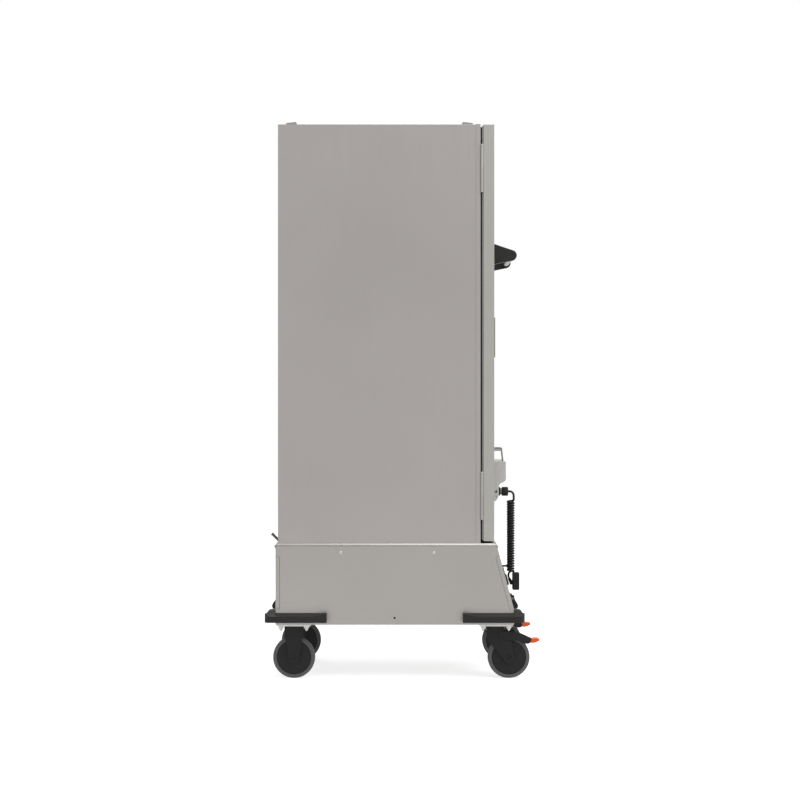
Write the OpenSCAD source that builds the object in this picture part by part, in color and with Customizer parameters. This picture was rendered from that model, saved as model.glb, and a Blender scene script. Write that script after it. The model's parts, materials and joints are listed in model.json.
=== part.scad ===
// Enclosed meal tray cart: an insulated cabinet with one hinged door, a draw-out heater
// in the door, a base with corner bumpers, two fixed casters and two braked swivel casters.
// Millimetres, +Z up. The door faces -Y. The origin is on the floor under the middle.

/* [Cabinet] */
// Width of the insulated cabinet
cab_w = 500; // [480:5:520]
// Depth of the insulated cabinet, without its door
cab_d = 600; // [580:5:620]
// Height of the cabinet above the base
cab_h = 1240; // [1210:5:1260]
// Thickness of the insulated walls
wall_t = 40; // [36:1:44]
// Thickness of the cabinet's steel sheet
sheet_t = 1.5; // [1:0.1:2]

/* [Door] */
// Thickness of the door
door_t = 32; // [28:1:36]
// Gap between cabinet and door, which the gasket fills
door_gap = 8.5; // [8.5:0.5:10]
// Gap under the door
door_lift = 6; // [4:1:10]
// Height of a hinge
hinge_h = 139; // [100:1:160]
// Length of the push bar over its brackets
bar_span = 340; // [280:10:380]
// How far the push bar stands out of the door
bar_reach = 71.5; // [65:0.5:90]

/* [Tray rack] */
// Width of a tray
tray_w = 370; // [360:5:370]
// Number of tray levels
tray_levels = 10; // [6:1:10]
// Height from one level to the next
tray_pitch = 113; // [100:1:113]

/* [Base] */
// Height of the base's lower edge over the floor
base_z = 163.5; // [163.5:0.5:170]
// How far the base's sides stand out past the cabinet
base_out = 6; // [5:0.5:8]
// Lean of the base's front face from vertical, in degrees
slope = 15; // [13:1:15]
// How far the bumpers stand out past the base's sides
bumper_out = 28; // [20:1:36]
// Length of a bumper's long arm, from the base's front or rear face
bumper_arm = 183; // [150:1:200]
// Length of a bumper's short arm, from its outer side
bumper_short = 70; // [60:1:90]

/* [Casters] */
// Diameter of a wheel
wheel_d = 125; // [120:1:125]
// Width of a tyre
tyre_w = 32; // [28:1:34]
// Distance from the swivel axis to the wheel's axle
trail = 39; // [36:1:40]

/* [Heater] */
// Width of the heater housing
heater_w = 280; // [260:10:320]

/* [Cord] */
// Diameter of the cord
wire_d = 6.5; // [6:0.1:6.6]
// Outer diameter of the curls
curl_d = 24.9; // [24:0.1:26]
// Whole curls in the cord
curls = 28; // [20:1:28]

/* [Hidden] */
$fn = 64;
eps = 0.01;

// Cabinet planes
half_w = cab_w / 2;
front_y = -230.5;
rear_y = front_y + cab_d;
deck_z = 404.5;
roof_z = deck_z + cab_h;
cavity_x = half_w - wall_t;
cavity_z0 = deck_z + wall_t;
cavity_z1 = roof_z - wall_t;
cavity_y1 = rear_y - 44;
frame_depth = 14;
frame_rise = 1.5;

// Door planes
door_back = front_y - door_gap;
door_front = door_back - door_t;
door_z0 = deck_z + door_lift;
hinge_x = -half_w - 2.5;
hinge_y = front_y - door_gap / 2;
hinge_zs = [roof_z - 132, deck_z + 138.75];
knuckle_r = 4.5;
pin_r = 2.5;
running = 0.06;

// Base planes
base_x = half_w + base_out;
panel_t = 3;
cover_t = 2;
knee_z = 210;
cover_top = 389;
panel_top = 396.5;
base_front = -329;
base_rear = rear_y + 7;
seam = 12.5;
seam_gap = 0.4;
seam_top = 365;
lip_out = 4.2;
hole_y = 24;
hole_z = 184;
hole_r = 3;
screw_ys = [183.5, -92];
screw_z = 376.5;

// Bumpers
bumper_face = 31.5;
bumper_z0 = 172;
bumper_corner_r = 22;

// Casters
track_x = half_w - 50;
rear_caster_y = rear_y - 45.5;
front_caster_y = -277;
axle_z = wheel_d / 2;
plate_t = 6;
plate_z = base_z - plate_t;
bolt_dx = 30;
bolt_dy = 38;
fork_in = 20;
leg_t = 3;
fork_out = fork_in + leg_t;
axle_r = 5;
kingpin_r = 8;
pedal_y = front_caster_y - 19;
pedal_z = 131;
pedal_pin_r = 4;
arm_in = fork_out + 0.5;
arm_out = arm_in + 3;

// Rack
rail_t = 1.5;
rail_leg = 22;
rail_drop = 20;
rail_x = cavity_x - 20;
rail_y0 = front_y + 25.5;
rail_y1 = cavity_y1 - 5;
rail_z0 = cavity_z0 + 32;

// Push bar, card holder
bar_z = deck_z + 858.5;
bar_r = 16;
bar_tube_r = 11;
card_x0 = -215;
card_z0 = 956;
card_size = [155, 4.5, 118];

// Heater, from its back face on the door
heater_back = door_front - 0.2;
heater_top = 642;
core_x = 120;
core_z = [547, 633];
cut_gap = 2;
gland_z = 550.5;
cord_x = -90;
HEATER_SIDE = [[heater_back, heater_top], [door_front - 40, heater_top], [door_front - 40.5, 590],
    [door_front - 38.5, 584.5], [door_front - 32, 580], [door_front - 24, 576.5], [door_front - 20, 571.5],
    [door_front - 19, 566], [door_front - 19, 543], [door_front - 17, 535], [door_front - 13, 527.5],
    [door_front - 8.5, 523], [heater_back, 522]];

// Cord: the curls hang between two short straight ends
gland_face = -321;
wire_r = wire_d / 2;
curl_r = curl_d / 2 - wire_r;
coil_y = -328.6;
coil_top = 535.5;
turn_in_r = 7.5;
helix_top = coil_top - wire_d - turn_in_r;
helix_bottom = 306.9;
turn_in_deg = turn_in_r / curl_r * 180 / PI;
turn_out_r = 12;
turn_out_deg = turn_out_r / curl_r * 180 / PI;
exit_deg = 135;
turns = curls + (exit_deg - turn_in_deg - turn_out_deg) / 360;
coil_bottom = helix_bottom - turn_out_r - 0.5;
tail_x = cord_x + curl_r * sin(exit_deg);
tail_y = coil_y - curl_r * cos(exit_deg);
// Routes of the free stretches as [y, z], the lead at x = cord_x and the tail at x = tail_x
LEAD = [[gland_face, gland_z], [-326, 550.5], [-331, 549.2], [-335, 545.8], [-337.2, 541],
    [coil_y - curl_r, 537.5], [coil_y - curl_r, coil_top]];
TAIL = [[tail_y, coil_bottom], [tail_y - 0.1, 292.5], [tail_y - 0.7, 289.4], [tail_y - 1.8, 286.2],
    [tail_y - 2.5, 284.6]];

// ---- Helpers ----

// Box between two opposite corners
module span(low, high) translate(low) cube(high - low);

// Outline in (y, z), extruded along x
module along_x(outline, x0, x1)
    translate([x0, 0, 0]) rotate([90, 0, 90]) linear_extrude(x1 - x0) polygon(outline);

// Outline in (x, z), extruded along y
module along_y(outline, y0, y1)
    translate([0, y1, 0]) rotate([90, 0, 0]) linear_extrude(y1 - y0) polygon(outline);

// Cylinders along the axes
module rod_x(y, z, r, x0, x1) translate([x0, y, z]) rotate([0, 90, 0]) cylinder(r = r, h = x1 - x0);
module rod_y(x, z, r, y0, y1) translate([x, y1, z]) rotate([90, 0, 0]) cylinder(r = r, h = y1 - y0);
module rod_z(x, y, r, z0, z1) translate([x, y, z0]) cylinder(r = r, h = z1 - z0);

// Rectangle in (x, z) as an outline
function rect(x0, z0, x1, z1) = [[x0, z0], [x1, z0], [x1, z1], [x0, z1]];

// Rectangle with round corners, lower left corner at the origin
module rounded_rect(size, r) {
    translate([r, 0]) square([size[0] - 2 * r, size[1]]);
    translate([0, r]) square([size[0], size[1] - 2 * r]);
    for (x = [r, size[0] - r], y = [r, size[1] - r]) translate([x, y]) circle(r);
}

// Outline moved inward by d; the outline runs clockwise when d is negative
function unit_normal(a, b) = [a[1] - b[1], b[0] - a[0]] / norm(b - a);
function inset_point(a, b, c, d) =
    let (n = unit_normal(a, b), m = unit_normal(b, c)) b + d * (n + m) / (1 + n * m);
function inset(outline, d) = let (n = len(outline))
    [for (i = [0:n - 1]) inset_point(outline[(i + n - 1) % n], outline[i], outline[(i + 1) % n], d)];

// Front face of the base at height z, moved back by d square to the face
function slope_y(z, d) = base_front + (z - knee_z) * tan(slope) + d / cos(slope);

// Children in a frame whose -Y stands square out of the sloping front at height z
module on_slope(z) translate([0, slope_y(z, 0), z]) rotate([-slope, 0, 0]) children();

// Tube of triangles through rings of points, closed at both ends
module tube(rings) {
    sides = len(rings[0]);
    last = (len(rings) - 1) * sides;
    points = [for (ring = rings) each ring];
    walls = [for (i = [0:len(rings) - 2], k = [0:sides - 1])
        let (a = i * sides + k, b = i * sides + (k + 1) % sides)
        each [[a, b, a + sides], [b, b + sides, a + sides]]];
    caps = [for (k = [1:sides - 2]) each [[0, k + 1, k], [last, last + k, last + k + 1]]];
    polyhedron(points, concat(walls, caps), convexity = 10);
}

// One ring of a tube: centre, two unit vectors across the tube, radius and sides
function ring(centre, u, v, r, sides) =
    [for (k = [0:sides - 1]) centre + r * (cos(360 * k / sides) * u + sin(360 * k / sides) * v)];

// ---- Base ----

// Square box tube between two corners, closed at its ends
module box_tube(low, high, wall = 2) difference() {
    span(low, high);
    span(low + [wall, wall, wall], high - [wall, wall, wall]);
}

module chassis() color("darkgray") {
    tube_w = 30;
    tube_top = base_z + 43;
    difference() {
        span([-base_x + panel_t, base_front + cover_t, base_z],
            [base_x - panel_t, base_rear - cover_t, base_z + 3]);
        bolt_places() rod_z(0, 0, 5.5, base_z - 1, base_z + 4);
    }
    for (x = [-155, 125]) {
        box_tube([x, -300, base_z + 3], [x + tube_w, base_rear - 16, tube_top]);
        for (y = [-255, base_rear - 46])
            box_tube([x, y, tube_top], [x + tube_w, y + tube_w, deck_z - 3]);
    }
}

// Outline of a side panel, with notches for the returns of the two covers
function side_outline() = [[base_rear, base_z], [base_rear, knee_z], [base_rear - seam, knee_z],
    [base_rear - seam, seam_top], [base_rear, seam_top], [base_rear, panel_top - 7.5],
    [base_rear - 5, panel_top], [slope_y(panel_top, 5), panel_top], [slope_y(cover_top, 0), cover_top],
    [slope_y(seam_top, 0), seam_top], [slope_y(seam_top, seam), seam_top],
    [slope_y(knee_z, seam), knee_z], [base_front, knee_z], [base_front, base_z]];

module base_side(side) color("darkgray") difference() {
    along_x(side_outline(), min(side * base_x, side * (base_x - panel_t)),
        max(side * base_x, side * (base_x - panel_t)));
    rod_x(hole_y, hole_z, hole_r, side * base_x - 5, side * base_x + 5);
}

// A cover's sheet between the side panels, with its returns in their notches
module cover(sheet, fold) {
    along_x(sheet, -base_x + panel_t, base_x - panel_t);
    for (x = [-base_x, base_x - panel_t]) along_x(fold, x, x + panel_t);
}

module base_front_cover() color("darkgray") {
    low = knee_z + seam_gap;
    high = seam_top - seam_gap;
    cover([[base_front, base_z], [base_front, knee_z], [slope_y(cover_top, 0), cover_top],
        [slope_y(cover_top, cover_t), cover_top], [slope_y(knee_z, cover_t), knee_z],
        [base_front + cover_t, base_z]],
        [[slope_y(low, 0), low], [slope_y(high, 0), high], [slope_y(high, seam - seam_gap), high],
        [slope_y(low, seam - seam_gap), low]]);
}

module base_rear_cover() color("darkgray")
    cover([[base_rear - cover_t, base_z], [base_rear - cover_t, cover_top], [base_rear, cover_top],
        [base_rear, base_z]],
        rect(base_rear - seam + seam_gap, knee_z + seam_gap, base_rear, seam_top - seam_gap));

module base_deck() color("lightgray") {
    front = slope_y(cover_top, 0);
    difference() {
        intersection() {
            along_x([[front + 7.5, deck_z], [front - 1.5, deck_z - 9], [front, cover_top],
                [base_rear, cover_top], [base_rear + lip_out, deck_z - 8], [base_rear - 3, deck_z]],
                -base_x - 1, base_x + 1);
            along_y([[-half_w - 0.5, deck_z], [-base_x, deck_z - 5.5], [-base_x, panel_top + 0.5],
                [-base_x + panel_t, panel_top + 0.5], [-base_x + panel_t, cover_top],
                [base_x - panel_t, cover_top], [base_x - panel_t, panel_top + 0.5],
                [base_x, panel_top + 0.5], [base_x, deck_z - 5.5], [half_w + 0.5, deck_z]],
                front - 5, base_rear + 10);
        }
        span([-base_x + 2 * panel_t, front + 4, cover_top - 1],
            [base_x - 2 * panel_t, base_rear - 5, deck_z - 3]);
    }
}

// Dome screws on both side panels
module side_screws() color("silver")
    for (side = [-1, 1], y = screw_ys) translate([side * base_x, y, screw_z]) rotate([0, side * 90, 0])
        rotate_extrude() polygon([[0, 0], [4.6, 0], [4.4, 0.7], [3.6, 1.4], [2.4, 1.8], [1.4, 1.9],
            [1.4, 1.0], [0, 1.0]]);

// Corner bumper in a frame at the base's corner, which lies towards +x and +y. Its long arm runs
// along the side with a bevel that fades out near its end, and its short arm along the face.
module corner_bumper() {
    reach = bumper_arm - bumper_face;
    bevel_z = 190.5;
    side_top = 199;
    block_top = 208.5;
    intersection() {
        union() {
            difference() {
                along_y([[0, bumper_z0], [-bumper_out + 3, bumper_z0], [-bumper_out, bumper_z0 + 3],
                    [-bumper_out, side_top], [0, side_top]], -bumper_face, reach);
                hull() {
                    along_y([[-bumper_out - 1, bevel_z], [0.5, side_top], [0.5, side_top + 9],
                        [-bumper_out - 1, side_top + 9]], -bumper_face - 1, reach - 42);
                    along_y([[-bumper_out - 1, side_top - 0.1], [0.5, side_top],
                        [0.5, side_top + 9], [-bumper_out - 1, side_top + 9]], reach - 5, reach - 4.5);
                }
            }
            intersection() {
                along_x([[0, bumper_z0], [-bumper_face + 3, bumper_z0], [-bumper_face, bumper_z0 + 4],
                    [-bumper_face, bevel_z], [-22.5, 203.5], [-17, 206.5], [0, block_top]],
                    -bumper_out, bumper_short - bumper_out);
                along_y([[-bumper_out + 3, bumper_z0], [-bumper_out, bumper_z0 + 3], [-bumper_out, bevel_z],
                    [-6, block_top - 5], [2, block_top], [bumper_short, block_top],
                    [bumper_short, bumper_z0]], -bumper_face, 0);
            }
        }
        translate([0, 0, bumper_z0 - 1]) linear_extrude(60) {
            translate([bumper_corner_r - bumper_out, -bumper_face]) square(bumper_arm + 10);
            translate([-bumper_out, bumper_corner_r - bumper_face]) square(bumper_arm + 10);
            translate([bumper_corner_r - bumper_out, bumper_corner_r - bumper_face])
                circle(bumper_corner_r);
        }
    }
}

// The bumper at one corner: side is -1 or 1 for left or right, end is -1 or 1 for front or rear
module bumper(side, end) color("dimgray") translate([side * base_x, end < 0 ? base_front : base_rear, 0])
    mirror([side > 0 ? 1 : 0, 0, 0]) mirror([0, end > 0 ? 1 : 0, 0]) corner_bumper();

// Buffers in the middle of the front and the rear face
module centre_buffers() color("dimgray") for (end = [-1, 1]) {
    y = end < 0 ? base_front : base_rear;
    along_x([[y, 185], [y + end * 18, 185], [y + end * 26, 189], [y + end * 26, 199],
        [y + end * 15, 215], [y, 215]], -30, 30);
}

// ---- Cabinet ----

// Four-sided tube along y: outer and inner half width, heights, and its two ends
module box_ring(x1, z0, z1, t, y0, y1) difference() {
    span([-x1, y0, z0], [x1, y1, z1]);
    span([-x1 + t, y0 - 1, z0 + t], [x1 - t, y1 + 1, z1 - t]);
}

// Walls, roof and floor with the rear panel, welded into one skin
module outer_shell() color("silver") {
    box_ring(half_w, deck_z, roof_z, sheet_t, front_y + frame_depth, rear_y - sheet_t + eps);
    span([-half_w, rear_y - sheet_t, deck_z], [half_w, rear_y, roof_z]);
}

// Frame round the door opening: a plate with a flange back over the shell's edge
module front_frame() color("silver") {
    difference() {
        span([-half_w, front_y, deck_z], [half_w, front_y + frame_depth, roof_z + frame_rise]);
        span([-half_w + sheet_t, front_y + sheet_t, deck_z + sheet_t],
            [half_w - sheet_t, front_y + frame_depth + 1, roof_z - sheet_t]);
        span([-cavity_x, front_y - 1, cavity_z0], [cavity_x, front_y + 3, cavity_z1]);
    }
}

module insulation() color("wheat") {
    out_x = half_w - sheet_t;
    in_x = cavity_x + sheet_t;
    y0 = front_y + sheet_t;
    y1 = rear_y - sheet_t;
    for (x = [-out_x, in_x])
        span([x, y0, deck_z + sheet_t], [x + out_x - in_x, y1, roof_z - sheet_t]);
    span([-in_x, y0, deck_z + sheet_t], [in_x, y1, cavity_z0 - sheet_t]);
    span([-in_x, y0, cavity_z1 + sheet_t], [in_x, y1, roof_z - sheet_t]);
    span([-in_x, cavity_y1 + sheet_t, cavity_z0 - sheet_t], [in_x, y1, cavity_z1 + sheet_t]);
}

module inner_liner() color("gainsboro") {
    t = sheet_t;
    difference() {
        span([-cavity_x - t, front_y + t, cavity_z0 - t], [cavity_x + t, cavity_y1 + t, cavity_z1 + t]);
        span([-cavity_x, front_y, cavity_z0], [cavity_x, cavity_y1, cavity_z1]);
    }
}

module rack_posts() color("silver")
    for (x = [-cavity_x, rail_x], y = [front_y + 50, cavity_y1 - 75])
        box_tube([x, y, cavity_z0], [x + cavity_x - rail_x, y + 30, cavity_z1], sheet_t);

// L rails on one side, their flange hanging from the shelf's outer edge
module rack_rails(side) color("gainsboro") mirror([side > 0 ? 0 : 1, 0, 0])
    for (level = [0:tray_levels - 1]) {
        z = rail_z0 + level * tray_pitch;
        along_y([[rail_x, z], [rail_x - rail_t, z], [rail_x - rail_leg, z],
            [rail_x - rail_leg, z - rail_t], [rail_x - rail_t, z - rail_t],
            [rail_x - rail_t, z - rail_drop], [rail_x, z - rail_drop]], rail_y0, rail_y1);
    }

// Low pads, high at the end that faces the middle of the roof
module roof_pads() color("gray")
    for (x = [-half_w + 5, half_w - 35], end = [-1, 1]) {
        outer = end > 0 ? rear_y - 23 : front_y + 22.5;
        along_x([[outer, roof_z], [outer, roof_z + 4.8], [outer - end * 29.5, roof_z + 8.3],
            [outer - end * 32.5, roof_z + 4], [outer - end * 32.5, roof_z]], x, x + 30);
    }

// Short spout that slants up and back from the foot of the rear panel
module rear_spout() color("dimgray") intersection() {
    translate([-track_x, rear_y - 4, deck_z]) rotate([-45, 0, 0]) {
        cylinder(r = 4.1, h = 33);
        translate([0, 0, 31]) cylinder(r = 4.6, h = 5);
    }
    span([-track_x - 10, rear_y, deck_z], [-track_x + 10, rear_y + 40, deck_z + 50]);
}

// ---- Hinges ----

// Half of a hinge: a knuckle over part of the height and a leaf over all of it
module hinge_half(z, z0, z1, leaf_y, bore_r) difference() {
    union() {
        rod_z(hinge_x, hinge_y, knuckle_r, z0, z1);
        span([hinge_x, leaf_y, z0], [-half_w + 2.5, leaf_y + 2, z1]);
        span([-half_w + 2, leaf_y, z - hinge_h / 2], [-half_w + 13, leaf_y + 2, z + hinge_h / 2]);
    }
    rod_z(hinge_x, hinge_y, bore_r, z - hinge_h / 2 - 1, z + hinge_h / 2 + 1);
}

module hinge_body_halves() color("silver")
    for (z = hinge_zs) hinge_half(z, z - hinge_h / 2, z - 0.25, front_y - 2, pin_r);

module hinge_door_halves() color("silver")
    for (z = hinge_zs) hinge_half(z, z + 0.25, z + hinge_h / 2, door_back, pin_r + running);

module hinge_pins() color("lightgray")
    for (z = hinge_zs) {
        rod_z(hinge_x, hinge_y, pin_r, z - hinge_h / 2, z + hinge_h / 2 + 0.5);
        rod_z(hinge_x, hinge_y, knuckle_r, z + hinge_h / 2 + 0.5, z + hinge_h / 2 + 3.5);
    }

// ---- Plug dock ----

// Plate that the plug parks on, its tongue, and the hook for the cord above it
module plug_dock() color("dimgray") {
    hook_x = -72;
    hook_y = -316;
    hook_z = 322;
    hook_r = 2.9;
    bend_r = 3.1;
    on_slope(266) {
        span([cord_x - 25, -8.2, 0], [cord_x + 25, 0, 32]);
        span([cord_x - 25, -6.2, 32], [cord_x + 25, 0, 56]);
        span([cord_x - 18, -10, 2], [cord_x + 18, -8.2, 30]);
    }
    on_slope(hook_z) rod_y(hook_x, 0, 6, -2, 0);
    rod_y(hook_x, hook_z, hook_r, hook_y, slope_y(hook_z, 0) - 1);
    translate([hook_x, hook_y, hook_z]) {
        sphere(bend_r);
        rotate([45, 0, 0]) cylinder(r = hook_r, h = 11);
    }
}

// ---- Casters ----

// Children at each of the sixteen bolts
module bolt_places()
    for (x = [-track_x, track_x], y = [front_caster_y, rear_caster_y], i = [-1, 1], j = [-1, 1])
        translate([x + i * bolt_dx, y + j * bolt_dy, 0]) children();

module caster_plates() color("silver") {
    difference() {
        for (x = [-track_x, track_x], y = [front_caster_y, rear_caster_y])
            span([x - 42, y - 50, plate_z], [x + 42, y + 50, base_z]);
        bolt_places() rod_z(0, 0, 5.5, plate_z - 1, base_z + 1);
    }
    for (x = [-track_x, track_x]) {
        rod_z(x, front_caster_y, kingpin_r, plate_z - 17, plate_z);
        rod_z(x, front_caster_y, 12, plate_z - 20.6, plate_z - 16.6);
    }
}

module caster_bolts() color("lightgray") bolt_places() {
    translate([0, 0, base_z + 3]) cylinder(r = 8.5, h = 6.5, $fn = 6);
    rod_z(0, 0, 5, plate_z - 11, base_z + 3);
    translate([0, 0, plate_z - 6.5]) cylinder(r = 8.6, h = 6.5, $fn = 6);
    translate([0, 0, plate_z - 15]) cylinder(r1 = 2.5, r2 = 5, h = 4);
}

// Side plate of a fork in (y, z), with a round end at the axle
module fork_leg(outline, y) rotate([90, 0, 90]) linear_extrude(leg_t) {
    polygon(outline);
    translate([y, axle_z]) circle(17);
}

// The two side plates of a fork
module fork_legs(outline, y) for (x = [-fork_out, fork_in]) translate([x, 0, 0]) fork_leg(outline, y);

module rear_forks() color("dimgray")
    for (side = [-1, 1]) translate([side * track_x, 0, 0]) difference() {
        y = rear_caster_y;
        union() {
            fork_legs([[y - 28, plate_z], [y - 28, 122], [y - 24.5, 117], [y - 17, axle_z],
                [y + 17, axle_z], [y + 24.5, 117], [y + 28, 122], [y + 28, plate_z]], y);
            span([-fork_out, y - 28, plate_z - 6], [fork_out, y + 28, plate_z]);
        }
        rod_x(y, axle_z, axle_r, -fork_out - 1, fork_out + 1);
    }

module front_fork(side) color("dimgray") translate([side * track_x, 0, 0]) {
    y = front_caster_y;
    wheel_y = y - trail;
    bridge_z = plate_z - 16.5;
    difference() {
        union() {
            rod_z(0, y, 29, bridge_z + 5, plate_z - 0.3);
            span([-fork_out, y - 30, bridge_z], [fork_out, y + 28, bridge_z + 6]);
            fork_legs([[y + 28, bridge_z + 6], [y - 30, bridge_z + 6], [y - 46, 118],
                [wheel_y - 17, axle_z], [wheel_y + 15, axle_z - 6], [y + 22, 112], [y + 28, 120]],
                wheel_y);
        }
        rod_z(0, y, kingpin_r + running, bridge_z - 1, plate_z);
        rod_x(wheel_y, axle_z, axle_r, -fork_out - 1, fork_out + 1);
        rod_x(pedal_y, pedal_z, pedal_pin_r + running, -fork_out - 1, fork_out + 1);
    }
}

// Axle with a low round head at each end, outside the fork
module axle(side, y) translate([side * track_x, 0, 0]) {
    rod_x(y, axle_z, axle_r, -fork_out, fork_out);
    for (x = [-fork_out - 2, fork_out]) rod_x(y, axle_z, 8, x, x + 2);
}

module rear_axles() color("gray") for (side = [-1, 1]) axle(side, rear_caster_y);
module front_axle(side) color("gray") axle(side, front_caster_y - trail);

// Brake pedal: two arms outside the fork, a pin through it and a bar across the front. The arm
// towards the cart's middle is the slimmer one.
module brake_pedal(side) color("dimgray") translate([side * track_x, pedal_y, 0]) {
    full = [[-51, 137.3], [-61, 132.6], [-72, 128], [-80, 123.4], [-88, 118.6], [-84, 110],
        [-84, 107], [-78, 103.9], [-68, 103.9]];
    slim = [[-51, 131], [-64, 124.5], [-80, 118], [-86, 115], [-84, 107], [-78, 103.9], [-68, 103.9]];
    outer_x = side < 0 ? -arm_out : arm_in;
    for (x = [-arm_out, arm_in]) {
        along_x(concat([[0, 140], [-21, 141], [-36, 139.7]], x == outer_x ? full : slim,
            [[-44, 113], [-12, 116], [0, 122]]), x, x + 3);
        rod_x(0, pedal_z, 9, x, x + 3);
    }
    rod_x(0, pedal_z, pedal_pin_r, -arm_out, arm_out);
    along_x([[-78, 118.5], [-84, 116], [-84, 107], [-79, 108]], -arm_in, arm_in);
}

// Orange tread of the pedal: a tongue in front and a strip back over the bar
module pedal_tip(side) color("orangered") translate([side * track_x, pedal_y, 0]) {
    half = 15;
    along_x([[-84, 107], [-84, 116], [-88, 117.6], [-97, 118.6], [-105.5, 118.4], [-110, 117],
        [-112, 114.4], [-110.8, 111.6], [-106, 108.8], [-100, 106.2], [-94, 104.8], [-89, 104.5],
        [-85.5, 105.6]], -half, half);
    along_x([[-62, 128.6], [-80, 120.6], [-88, 117.6], [-84, 116], [-78, 118.5], [-62, 126.6]],
        side < 0 ? -arm_in + 0.3 : -half, side < 0 ? half : arm_in - 0.3);
}

// ---- Wheels ----

function wheel_y(end) = end < 0 ? front_caster_y - trail : rear_caster_y;

module wheel_core(side, end) color("dimgray") translate([side * track_x, wheel_y(end), axle_z])
    rotate([0, 90, 0]) rotate_extrude($fn = 96)
        polygon([[axle_r + running, -19], [13, -19], [14, -15], [50.5, -15], [51.5, -14.4],
            [51.5, 14.4], [50.5, 15], [14, 15], [13, 19], [axle_r + running, 19]]);

module tyre(side, end) color("gray") translate([side * track_x, wheel_y(end), axle_z]) {
    h = tyre_w / 2;
    r = wheel_d / 2;
    rotate([0, 90, 0]) rotate_extrude($fn = 96)
        polygon([[51.5, -h], [r - 4.5, -h], [r - 2, -h + 1.2], [r - 0.6, -h + 3.6], [r, -h + 7],
            [r, h - 7], [r - 0.6, h - 3.6], [r - 2, h - 1.2], [r - 4.5, h], [51.5, h]]);
}

// ---- Door ----

// Hole through the door for the heater
module heater_hole() span([-core_x - cut_gap, door_front - 1, core_z[0] - cut_gap],
    [core_x + cut_gap, door_back + 1, core_z[1] + cut_gap]);

module door_skin() color("silver") difference() {
    span([-half_w, door_front, door_z0], [half_w, door_back, roof_z]);
    span([-half_w + sheet_t, door_front + sheet_t, door_z0 + sheet_t],
        [half_w - sheet_t, door_back + 1, roof_z - sheet_t]);
    heater_hole();
}

// Insulation of the door as four slabs round the heater's hole
module door_core() color("wheat") {
    x = half_w - sheet_t;
    hole_x = core_x + cut_gap;
    y = [door_front + sheet_t, door_back - sheet_t];
    z = [door_z0 + sheet_t, core_z[0] - cut_gap, core_z[1] + cut_gap, roof_z - sheet_t];
    span([-x, y[0], z[0]], [x, y[1], z[1]]);
    span([-x, y[0], z[2]], [x, y[1], z[3]]);
    span([-x, y[0], z[1]], [-hole_x, y[1], z[2]]);
    span([hole_x, y[0], z[1]], [x, y[1], z[2]]);
}

module door_liner() color("gainsboro") difference() {
    span([-half_w + sheet_t, door_back - sheet_t, door_z0 + sheet_t],
        [half_w - sheet_t, door_back, roof_z - sheet_t]);
    heater_hole();
}

// Seal on the door's back: a flat foot and a narrower lip, cut away round the hinge leaves
module door_gasket() color("dimgray") difference() {
    foot_y = door_back + 3.7;
    union() {
        seal_ring(half_w - 3, 3, 29, door_back, foot_y);
        seal_ring(half_w - 7, 7, 21, foot_y - eps, front_y - 0.3);
    }
    for (z = hinge_zs) span([-half_w - 1, door_back - 1, z - hinge_h / 2 - 1],
        [-half_w + 14, front_y, z + hinge_h / 2 + 1]);
}

// Ring on the door's back: outer half width, distance from the door's ends, width, and its two planes
module seal_ring(x, edge, width, y0, y1) difference() {
    span([-x, y0, door_z0 + edge], [x, y1, roof_z - edge]);
    span([-x + width, y0 - 1, door_z0 + edge + width], [x - width, y1 + 1, roof_z - edge - width]);
}

module push_bar_brackets() color("dimgray") {
    nose = door_front - bar_reach + bar_r;
    for (x = [-bar_span / 2, bar_span / 2 - 20]) {
        along_x([[door_front, bar_z - 27.5], [door_front, bar_z + 35.5], [nose - 6, bar_z + bar_r - 1.2],
            [nose, bar_z], [nose - 3, bar_z - bar_r + 0.3]], x, x + 20);
        rod_x(nose, bar_z, bar_r, x, x + 20);
    }
}

module push_bar_tube() color("silver") difference() {
    y = door_front - bar_reach + bar_r;
    rod_x(y, bar_z, bar_tube_r, -bar_span / 2 + 20, bar_span / 2 - 20);
    rod_x(y, bar_z, bar_tube_r - 2, -bar_span / 2 + 19, bar_span / 2 - 19);
}

// Pocket for a card, open at the top
module card_holder() color("gray") translate([card_x0, door_front - card_size[1], card_z0])
    difference() {
        cube(card_size);
        translate([4, 1.2, 4]) cube([card_size[0] - 8, 2.3, card_size[2]]);
        translate([8, -1, 8]) cube([card_size[0] - 16, 3, card_size[2]]);
    }

// ---- Heater ----

module heater_housing() color("silver") {
    x = heater_w / 2;
    inner = inset(HEATER_SIDE, sheet_t);
    vent_r = 4.5;
    vent_slot = [3 * sheet_t, 12.8, 1.2];
    difference() {
        along_x(HEATER_SIDE, -x, x);
        along_x(inner, -x + sheet_t, x - sheet_t);
        span([-x + sheet_t, heater_back - 3, 527], [x - sheet_t, heater_back + 1, heater_top - sheet_t]);
        rod_x(door_front - 10, gland_z + 2, vent_r, -x - 1, -x + 3);
        translate([-x, door_front - 13.5, 535.5]) rotate([51, 0, 0]) cube(vent_slot, center = true);
    }
}

// Box with the heating element that stands through the door, and its flange in the housing
module heater_core() color("lightgray") {
    x = heater_w / 2 - sheet_t;
    difference() {
        union() {
            span([-core_x, door_front - 14, core_z[0]], [core_x, front_y + 14.5, core_z[1]]);
            span([-x, heater_back - 2, 530], [x, heater_back, heater_top - sheet_t]);
        }
        span([-core_x + 3, door_front - 12, core_z[0] + 3], [core_x - 3, front_y + 12, core_z[1] - 3]);
        for (k = [-4:4]) span([k * 24 - 9, front_y + 11, core_z[0] + 14],
            [k * 24 + 9, front_y + 15, core_z[1] - 14]);
    }
}

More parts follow.
